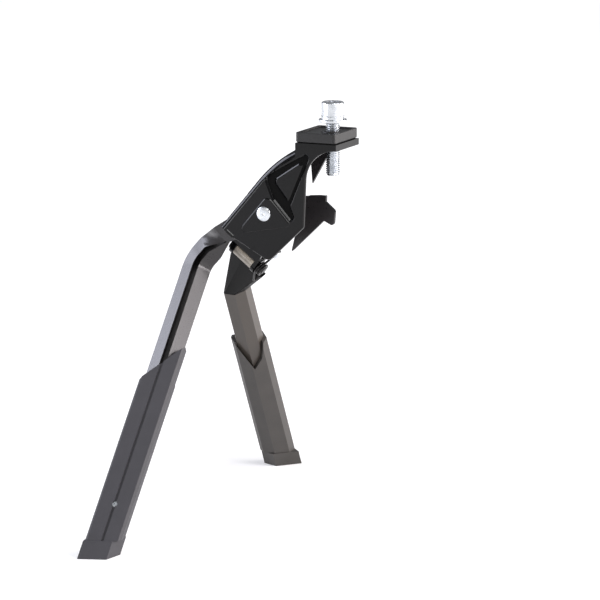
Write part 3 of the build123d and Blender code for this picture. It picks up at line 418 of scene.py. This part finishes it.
def roll_edges(bm, edges, radius, segments=2, clamp=True):
    """Rounds the given edges of a bmesh, and returns what the bevel made."""
    return bmesh.ops.bevel(bm, geom=edges, offset=radius, offset_type="OFFSET", segments=segments,
                           profile=0.5, affect="EDGES", clamp_overlap=clamp, material=-1)


def sharp_edges(bm, angle):
    """The edges that turn by more than an angle."""
    return [e for e in bm.edges if e.is_manifold and e.calc_face_angle() > angle]


# %% [markdown]
# The near cheek of the hood carries the press's relief: a channel round a three-cornered island, a pad
# round the rivet and a lip at the leg's exit. Pressed sheet slopes from one level to the next, so those
# walls get a bevel of one segment, and the rims at their tops are rolled. Each rim is found by its
# level and by how deep its wall goes. The island's top is drawn in a little more, because its walls
# lean further than the rest.

# %% Hood
CHANNEL_FLOOR = 18.5
ISLAND_TOP = 19.7
CHEEK_FACE = 20.0
PAD_TOP = 20.8
SLOPES = ((ISLAND_TOP, CHANNEL_FLOOR, 1.1), (CHEEK_FACE, CHANNEL_FLOOR, 1.3), (PAD_TOP, CHEEK_FACE, 0.7))
LEVEL_PLAY = 0.05 * MM
ISLAND_TAPER = (0.94, 1, 0.94)
HOOD_ROLL = 0.3 * MM
FACING_NEAR = -0.9


def at_level(edge, level):
    """Whether an edge lies at a level of the near cheek, in millimetres from the middle of the stand."""
    return all(abs(v.co.y + level * MM) < LEVEL_PLAY for v in edge.verts)


def wall_foot(edge):
    """How deep the faces beside an edge of the near cheek go."""
    return max(v.co.y for face in edge.link_faces for v in face.verts)


def rim(bm, level, foot):
    """Sharp edges at one level of the near cheek whose wall ends at another."""
    edges = [e for e in sharp_edges(bm, SHARP) if at_level(e, level)]
    return [e for e in edges if abs(wall_foot(e) + foot * MM) < LEVEL_PLAY]


bm = whole_faces("hood")
for level, foot, slope in SLOPES:
    edges = rim(bm, level, foot)
    print("hood rim at", level, "has", len(edges), "edges")
    walls = set(roll_edges(bm, edges, slope * MM, segments=1, clamp=False)["faces"])
    tops = [e for e in bm.edges
            if at_level(e, level) and 0 < len(walls.intersection(e.link_faces)) < len(e.link_faces)]
    if level == ISLAND_TOP:
        crown = list({v for e in tops for v in e.verts})
        centre = sum((v.co for v in crown), Vector()) / len(crown)
        bmesh.ops.scale(bm, vec=ISLAND_TAPER, verts=crown, space=Matrix.Translation(-centre))
    roll_edges(bm, tops, HOOD_ROLL, clamp=False)
roll_edges(bm, sharp_edges(bm, SHARP), HOOD_ROLL)
hood = finish_piece("hood_pressing", bm, enamel, "bracket", "hood")

# %% [markdown]
# The channel's floor is painted shade: it gets the darker, duller black. The inside of the far cheek
# is painted light: it gets the lighter satin paint of the near leg. Those faces are picked by the way
# they face and by where they lie.


# %% Painted shade and light on the hood
def on_channel_floor(face):
    """Whether a face is the floor of the near cheek's channel."""
    return face.normal.y < FACING_NEAR and abs(face.center.y + CHANNEL_FLOOR * MM) < LEVEL_PLAY


def inside_far_cheek(face):
    """Whether a face belongs to the far half of the hood and looks to the near side."""
    return face.normal.y < FACING_NEAR and face.center.y > 0


# Painted shade on the channel's floor.
coat(hood, painted_shade_black, on_channel_floor)
# Painted light: the inside of the far cheek gets the lighter satin paint.
coat(hood, satin_paint, inside_far_cheek)
print("hood finishes", [material.name for material in hood.data.materials])

# %% [markdown]
# The legs are folded sheet with a crease along every fold, the feet and the seat block are moulded, and
# the carrier is a thick pressing. Each row gives a node, the radius of its edges in millimetres, the
# angle from which an edge counts, its finish, its body and its slot. On a leg only the creases below
# the knee are rolled, because the bend above it has its own soft form.

# %% Rounded copies of the solids
ROUNDED = (
    ("leg_carrier", 0.4, SHARP, enamel, "carrier", "black_painted_steel"),
    ("left_leg", 0.4, CREASE, satin_paint, "carrier", "black_painted_steel"),
    # The far leg's and far foot's finishes are lighter copies: painted light.
    ("right_leg", 0.4, CREASE, far_leg_painted_light_paint, "right_side", "black_painted_steel"),
    ("left_foot", 0.6, SHARP, nylon, "left_shoe", "black_plastic"),
    ("right_foot", 0.6, SHARP, far_foot_painted_light_nylon, "right_shoe", "black_plastic"),
    ("seat_block", 0.4, SHARP, seat_nylon, "bracket", "black_plastic"),
    ("bolt_washer", 0.25, SHARP, zinc, "bracket", "zinc_plated_steel"),
    ("lock_washer", 0.2, SHARP, zinc, "bracket", "zinc_plated_steel"),
    ("pivot_washer_left", 0.15, SHARP, spring_steel, "bracket", "spring_steel"),
    ("pivot_spacer_right", 0.2, SHARP, spring_steel, "bracket", "spring_steel"),
    ("spring_pin", 0.3, SHARP, spring_steel, "carrier", "spring_steel"),
    ("hinge_pin", 0.4, SHARP, black_oxide, "carrier", "spring_steel"),
    ("hinge_clip", 0.2, SHARP, black_oxide, "carrier", "spring_steel"),
    ("left_foot_screw", 0.2, SHARP, zinc, "left_shoe", "spring_steel"),
    ("right_foot_screw", 0.2, SHARP, zinc, "right_shoe", "spring_steel"),
)
KNEES = {"left_leg": -108 * MM, "right_leg": -140 * MM}

rounded = {}
for node, radius, angle, material, body, slot in ROUNDED:
    bm = whole_faces(node)
    edges = sharp_edges(bm, angle)
    if node in KNEES:
        low = [e for e in edges if all(v.co.z < KNEES[node] for v in e.verts)]
        roll_edges(bm, [e for e in low if e.calc_length() > radius * MM], radius * MM, clamp=False)
    else:
        roll_edges(bm, edges, radius * MM)
    bend = FACETED if node in KNEES else SMOOTH
    rounded[node] = finish_piece(node + "_rounded", bm, material, body, node, bend)
print("rounded", len(rounded), "pieces")

# %% [markdown]
# The far leg turns on a slanted pin. Its plate above the knee gets the darker, duller black as painted
# shade, and its rolled knuckle gets a warm grey metal as a painted highlight. The knuckle's faces are
# those close to the pin's axis.

# %% Far leg's plate and knuckle
HINGE = Vector((-63.8, 4, -98.7))
PIN = Vector((0.7848, 0, -0.6198)).normalized()
PLATE_FOOT = -134 * MM
KNUCKLE_R = 5.8 * MM


def on_plate(face):
    """Whether a face of the far leg lies above its knee."""
    return face.center.z > PLATE_FOOT


def on_knuckle(face):
    """Whether a face of the far leg lies on the roll round the hinge pin."""
    return (face.center - HINGE * MM).cross(PIN).length < KNUCKLE_R


# Painted shade on the far leg's plate.
coat(rounded["right_leg"], painted_shade_black, on_plate)
# Painted highlight on the far leg's knuckle.
coat(rounded["right_leg"], painted_highlight_steel, on_knuckle)
print("far leg finishes", [material.name for material in rounded["right_leg"].data.materials])

# %% [markdown]
# Rivets and the spring's post are turned on a lathe, and a spin does in Blender what the lathe does: a
# line of radius and height is carried once round the axis. The rivet's head is set by a spinning punch,
# which leaves a low dome with a small dimple in the middle.

# %% Turned pieces
LATHE_STEPS = 48
LATHE_SEAM = 0.001 * MM
PIVOT = Vector((-43.9, 0, -59.4))
POST_FOOT = Vector((-51.22, 12.8, -93.74))
RIVET_HEAD = ((4.0, 0), (5.3, 0), (5.3, 0.55), (5.12, 0.9), (4.6, 1.15), (3.5, 1.32), (1.5, 1.4),
              (1.1, 1.3), (0.7, 1.2), (0, 1.18))
RIVET_FOOT = ((0, 5.5), (6.3, 5.5), (6.5, 5.7), (6.5, 6.9), (6.3, 7.1), (4.0, 7.1))
POST = ((0, -3.0), (1.5, -3.0), (1.5, 0), (2.8, 0), (3.0, 0.2), (3.0, 1.6), (2.82, 2.3), (2.3, 2.85),
        (1.4, 3.25), (0, 3.4))
RIVETS = (("left", Vector((0, -1, 0)), PAD_TOP), ("right", Vector((0, 1, 0)), CHEEK_FACE))


def turned(name, profile, at, axis, material, body, stands_for):
    """A lathe-turned piece: a line of radius and height in millimetres, spun once about an axis."""
    bm = bmesh.new()
    line = [bm.verts.new((radius * MM, 0, height * MM)) for radius, height in profile]
    steps = [bm.edges.new(pair) for pair in zip(line, line[1:])]
    bmesh.ops.spin(bm, geom=line + steps, cent=(0, 0, 0), axis=(0, 0, 1), angle=2 * pi, steps=LATHE_STEPS,
                   use_merge=True, use_duplicate=False)
    bmesh.ops.remove_doubles(bm, verts=bm.verts, dist=LATHE_SEAM)
    bmesh.ops.recalc_face_normals(bm, faces=bm.faces)
    turn = axis.to_track_quat("Z", "Y").to_matrix().to_4x4()
    bmesh.ops.transform(bm, verts=bm.verts, matrix=Matrix.Translation(at * MM) @ turn)
    return finish_piece(name, bm, material, body, stands_for)


for side, axis, seat in RIVETS:
    profile = RIVET_FOOT + tuple((radius, seat + height) for radius, height in RIVET_HEAD)
    turned(f"rivet_{side}", profile, PIVOT, axis, zinc, "bracket",
           f"pivot_rivet_{side}")
turned("spring_post_turned", POST, POST_FOOT, PIN, zinc, "carrier", "spring_post")

# %% [markdown]
# A spring is one wire led round a path. A curve with a round bevel could draw it, but its hooks would
# pinch where the path turns sharply. Here a ring of points is the wire's section, and each spin carries
# the ring on from where the last one ended, so the coil and both hooks are one smooth skin.

# %% Wire helpers
WIRE_SIDES = 12
HALF_TURN = 180
QUARTER_TURN = 90


def wire_ring(bm, at, along, radius):
    """The section of a wire at a point, square to its direction."""
    turn = along.to_track_quat("Z", "Y").to_matrix().to_4x4()
    made = bmesh.ops.create_circle(bm, cap_ends=False, radius=radius * MM, segments=WIRE_SIDES,
                                   matrix=Matrix.Translation(at * MM) @ turn)
    return list({e for v in made["verts"] for e in v.link_edges})


def wire_turn(bm, ring, centre, axis, degrees, steps, rise=Vector()):
    """Carries a wire's end round an axis and along it, and returns the new end."""
    verts = list({v for e in ring for v in e.verts})
    made = bmesh.ops.spin(bm, geom=verts + ring, cent=centre * MM, axis=axis, angle=radians(degrees),
                          steps=steps, dvec=rise * MM / steps, use_duplicate=False)
    return [g for g in made["geom_last"] if isinstance(g, bmesh.types.BMEdge)]


def wire_run(bm, ring, shift):
    """Carries a wire's end straight on, and returns the new end."""
    made = bmesh.ops.extrude_edge_only(bm, edges=ring)["geom"]
    verts = [g for g in made if isinstance(g, bmesh.types.BMVert)]
    bmesh.ops.translate(bm, verts=verts, vec=shift * MM)
    return [g for g in made if isinstance(g, bmesh.types.BMEdge) and all(v in verts for v in g.verts)]


def close_wire(bm, ends):
    """Caps a wire's two ends and turns its skin outwards."""
    for ring in ends:
        bmesh.ops.contextual_create(bm, geom=ring)
    bmesh.ops.recalc_face_normals(bm, faces=bm.faces)


print("wires have", WIRE_SIDES, "sides")

# %% [markdown]
# The return spring pulls the carrier up against its stop. Its top hook sits in a tab inside the hood,
# and its lower hook holds the carrier's pin. The close coil is stretched open a little, as it is under
# load. At each end half a small turn brings the wire in to the coil's axis, and the hook starts there.

# %% Return spring
ANCHOR = Vector((-30, 0, -30))
SPRING_PIN = Vector((-57.44, 0, -62.95))
SIDE = Vector((0, 1, 0))
RETURN_WIRE_R = 0.85
COIL_R = 4.15
COIL_TURNS = 17.75
COIL_FROM = 2 * COIL_R
TURN_STEPS = 24
BEND_STEPS = 10
HOOK_R = 3.2
HOOK_DEGREES = 290
HOOK_STEPS = 22

pull = (SPRING_PIN - ANCHOR).normalized()
front = pull.cross(SIDE)
coil_to = (SPRING_PIN - ANCHOR).length - HOOK_R
bm = bmesh.new()
first = wire_ring(bm, ANCHOR + pull * COIL_FROM - front * COIL_R, SIDE, RETURN_WIRE_R)
last = wire_turn(bm, first, ANCHOR, pull, 360 * COIL_TURNS, int(TURN_STEPS * COIL_TURNS),
                 pull * (coil_to - COIL_FROM))
last = wire_turn(bm, last, ANCHOR + pull * coil_to - SIDE * COIL_R / 2, pull, HALF_TURN, BEND_STEPS)
last = wire_turn(bm, last, SPRING_PIN, SIDE, HOOK_DEGREES, HOOK_STEPS)
first = wire_turn(bm, first, ANCHOR + pull * COIL_FROM - front * COIL_R / 2, -pull, HALF_TURN,
                  BEND_STEPS)
first = wire_turn(bm, first, ANCHOR + pull * COIL_R, front, HOOK_DEGREES, HOOK_STEPS)
close_wire(bm, (first, last))
finish_piece("return_spring_wire", bm, spring_steel, "pull_spring", "return_spring")

# %% [markdown]
# The torsion spring sits on the hinge pin and folds the far leg beside the near one. One end hooks
# round the carrier's post and the other bears on the far leg's plate. Its mesh is put on no body and
# is left where it stands. Places here are measured from the hinge's middle.

# %% Torsion spring
RISE = PIN.cross(SIDE)
TORSION_WIRE_R = 0.8
TORSION_R = 4.4
TORSION_FROM = 143
TORSION_TURN = 441.8
TORSION_STEPS = 40
COIL_START = 8.2
COIL_LENGTH = 2.0
LEG_REACH = 16
LEG_ALONG_PIN = 0.53
POST_AT = SIDE * 8.8 + RISE * 11.68 + PIN * 8.84
POST_SIDE = 3.85
POST_STEPS = 8


def about_pin(degrees, radius, along):
    """A point by its angle, radius and place along the hinge pin, from the hinge's middle."""
    angle = radians(degrees)
    return PIN * along + (SIDE * cos(angle) + RISE * sin(angle)) * radius


bm = bmesh.new()
start = about_pin(TORSION_FROM, TORSION_R, COIL_START)
first = wire_ring(bm, HINGE + start, about_pin(TORSION_FROM + QUARTER_TURN, 1, 0), TORSION_WIRE_R)
last = wire_turn(bm, first, HINGE, PIN, TORSION_TURN, TORSION_STEPS, PIN * -COIL_LENGTH)
last = wire_run(bm, last, about_pin(TORSION_FROM + TORSION_TURN + QUARTER_TURN, LEG_REACH, LEG_ALONG_PIN))
first = wire_run(bm, first, POST_AT + about_pin(TORSION_FROM, POST_SIDE, 0) - start)
first = wire_turn(bm, first, HINGE + POST_AT, -PIN, QUARTER_TURN, POST_STEPS)
close_wire(bm, (first, last))
torsion = finish_piece("torsion_spring_wire", bm, black_oxide, None, "torsion_spring")
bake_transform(torsion)

# %% [markdown]
# The mounting bolt is an ordinary M10 with a pitch of 1.5 mm. A bump could hint at its thread, but its
# outline would stay smooth, so the thread is real: one tooth of the profile climbs one pitch a turn,
# neighbouring turns are merged, and a plane cuts both ends square. The tip is then drawn in to a cone,
# as a chamfer tool leaves it.

# %% Bolt's thread
PITCH = 1.5
TOOTH = ((4.07, 0), (4.07, 0.27), (4.98, 0.79), (4.98, 0.98), (4.07, PITCH))
THREAD_LOW = -32.0
THREAD_HIGH = 5.4
THREAD_STEPS = 32
THREAD_SEAM = 0.004 * MM
SPARE_TURNS = 2
CHAMFER_R = 3.7


def cut_square(bm, height, outwards):
    """Cuts a bmesh at a height, drops what is outside and caps the cut."""
    geometry = bm.verts[:] + bm.edges[:] + bm.faces[:]
    made = bmesh.ops.bisect_plane(bm, geom=geometry, plane_co=(0, 0, height * MM),
                                  plane_no=(0, 0, outwards), clear_outer=True)
    edges = [g for g in made["geom_cut"] if isinstance(g, bmesh.types.BMEdge)]
    bmesh.ops.contextual_create(bm, geom=edges)


thread = bmesh.new()
start = THREAD_LOW - SPARE_TURNS * PITCH
line = [thread.verts.new((radius * MM, 0, (start + height) * MM)) for radius, height in TOOTH]
tooth = [thread.edges.new(pair) for pair in zip(line, line[1:])]
turns = int((THREAD_HIGH - THREAD_LOW) / PITCH) + 2 * SPARE_TURNS
bmesh.ops.spin(thread, geom=line + tooth, cent=(0, 0, 0), axis=(0, 0, 1), angle=2 * pi * turns,
               steps=THREAD_STEPS * turns, dvec=(0, 0, PITCH * MM / THREAD_STEPS), use_duplicate=False)
bmesh.ops.remove_doubles(thread, verts=thread.verts, dist=THREAD_SEAM)
cut_square(thread, THREAD_LOW, -1)
cut_square(thread, THREAD_HIGH, 1)
for vert in thread.verts:
    reach = vert.co.xy.length
    room = CHAMFER_R * MM + (vert.co.z - THREAD_LOW * MM)
    if reach > room:
        vert.co.xy *= room / reach
bmesh.ops.recalc_face_normals(thread, faces=thread.faces)
print("thread has", turns - 2 * SPARE_TURNS, "turns and", len(thread.faces), "faces")

# %% [markdown]
# The bolt's head keeps the solid's form. It is cut off just below the thread's top, so that the two
# overlap by a hair, its edges are rolled, and the thread is added to the same mesh.

# %% Mounting bolt
THREAD_OVERLAP = 0.2
BOLT_ROLL = 0.3 * MM

bm = whole_faces("mounting_bolt")
cut_square(bm, THREAD_HIGH - THREAD_OVERLAP, -1)
roll_edges(bm, sharp_edges(bm, SHARP), BOLT_ROLL)
scrap = bpy.data.meshes.new("thread")
thread.to_mesh(scrap)
thread.free()
bm.from_mesh(scrap)
bpy.data.meshes.remove(scrap)
finish_piece("mounting_bolt_threaded", bm, zinc, "bracket", "mounting_bolt")

# %% [markdown]
# Finishes are meant to leave the stand's size as it was. The box of the solids and the box of the
# dressed stand are printed side by side, so that they can be compared.

low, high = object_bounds()
print("box of the dressed stand, mm:", [round(v / MM, 1) for v in (*low, *high)])
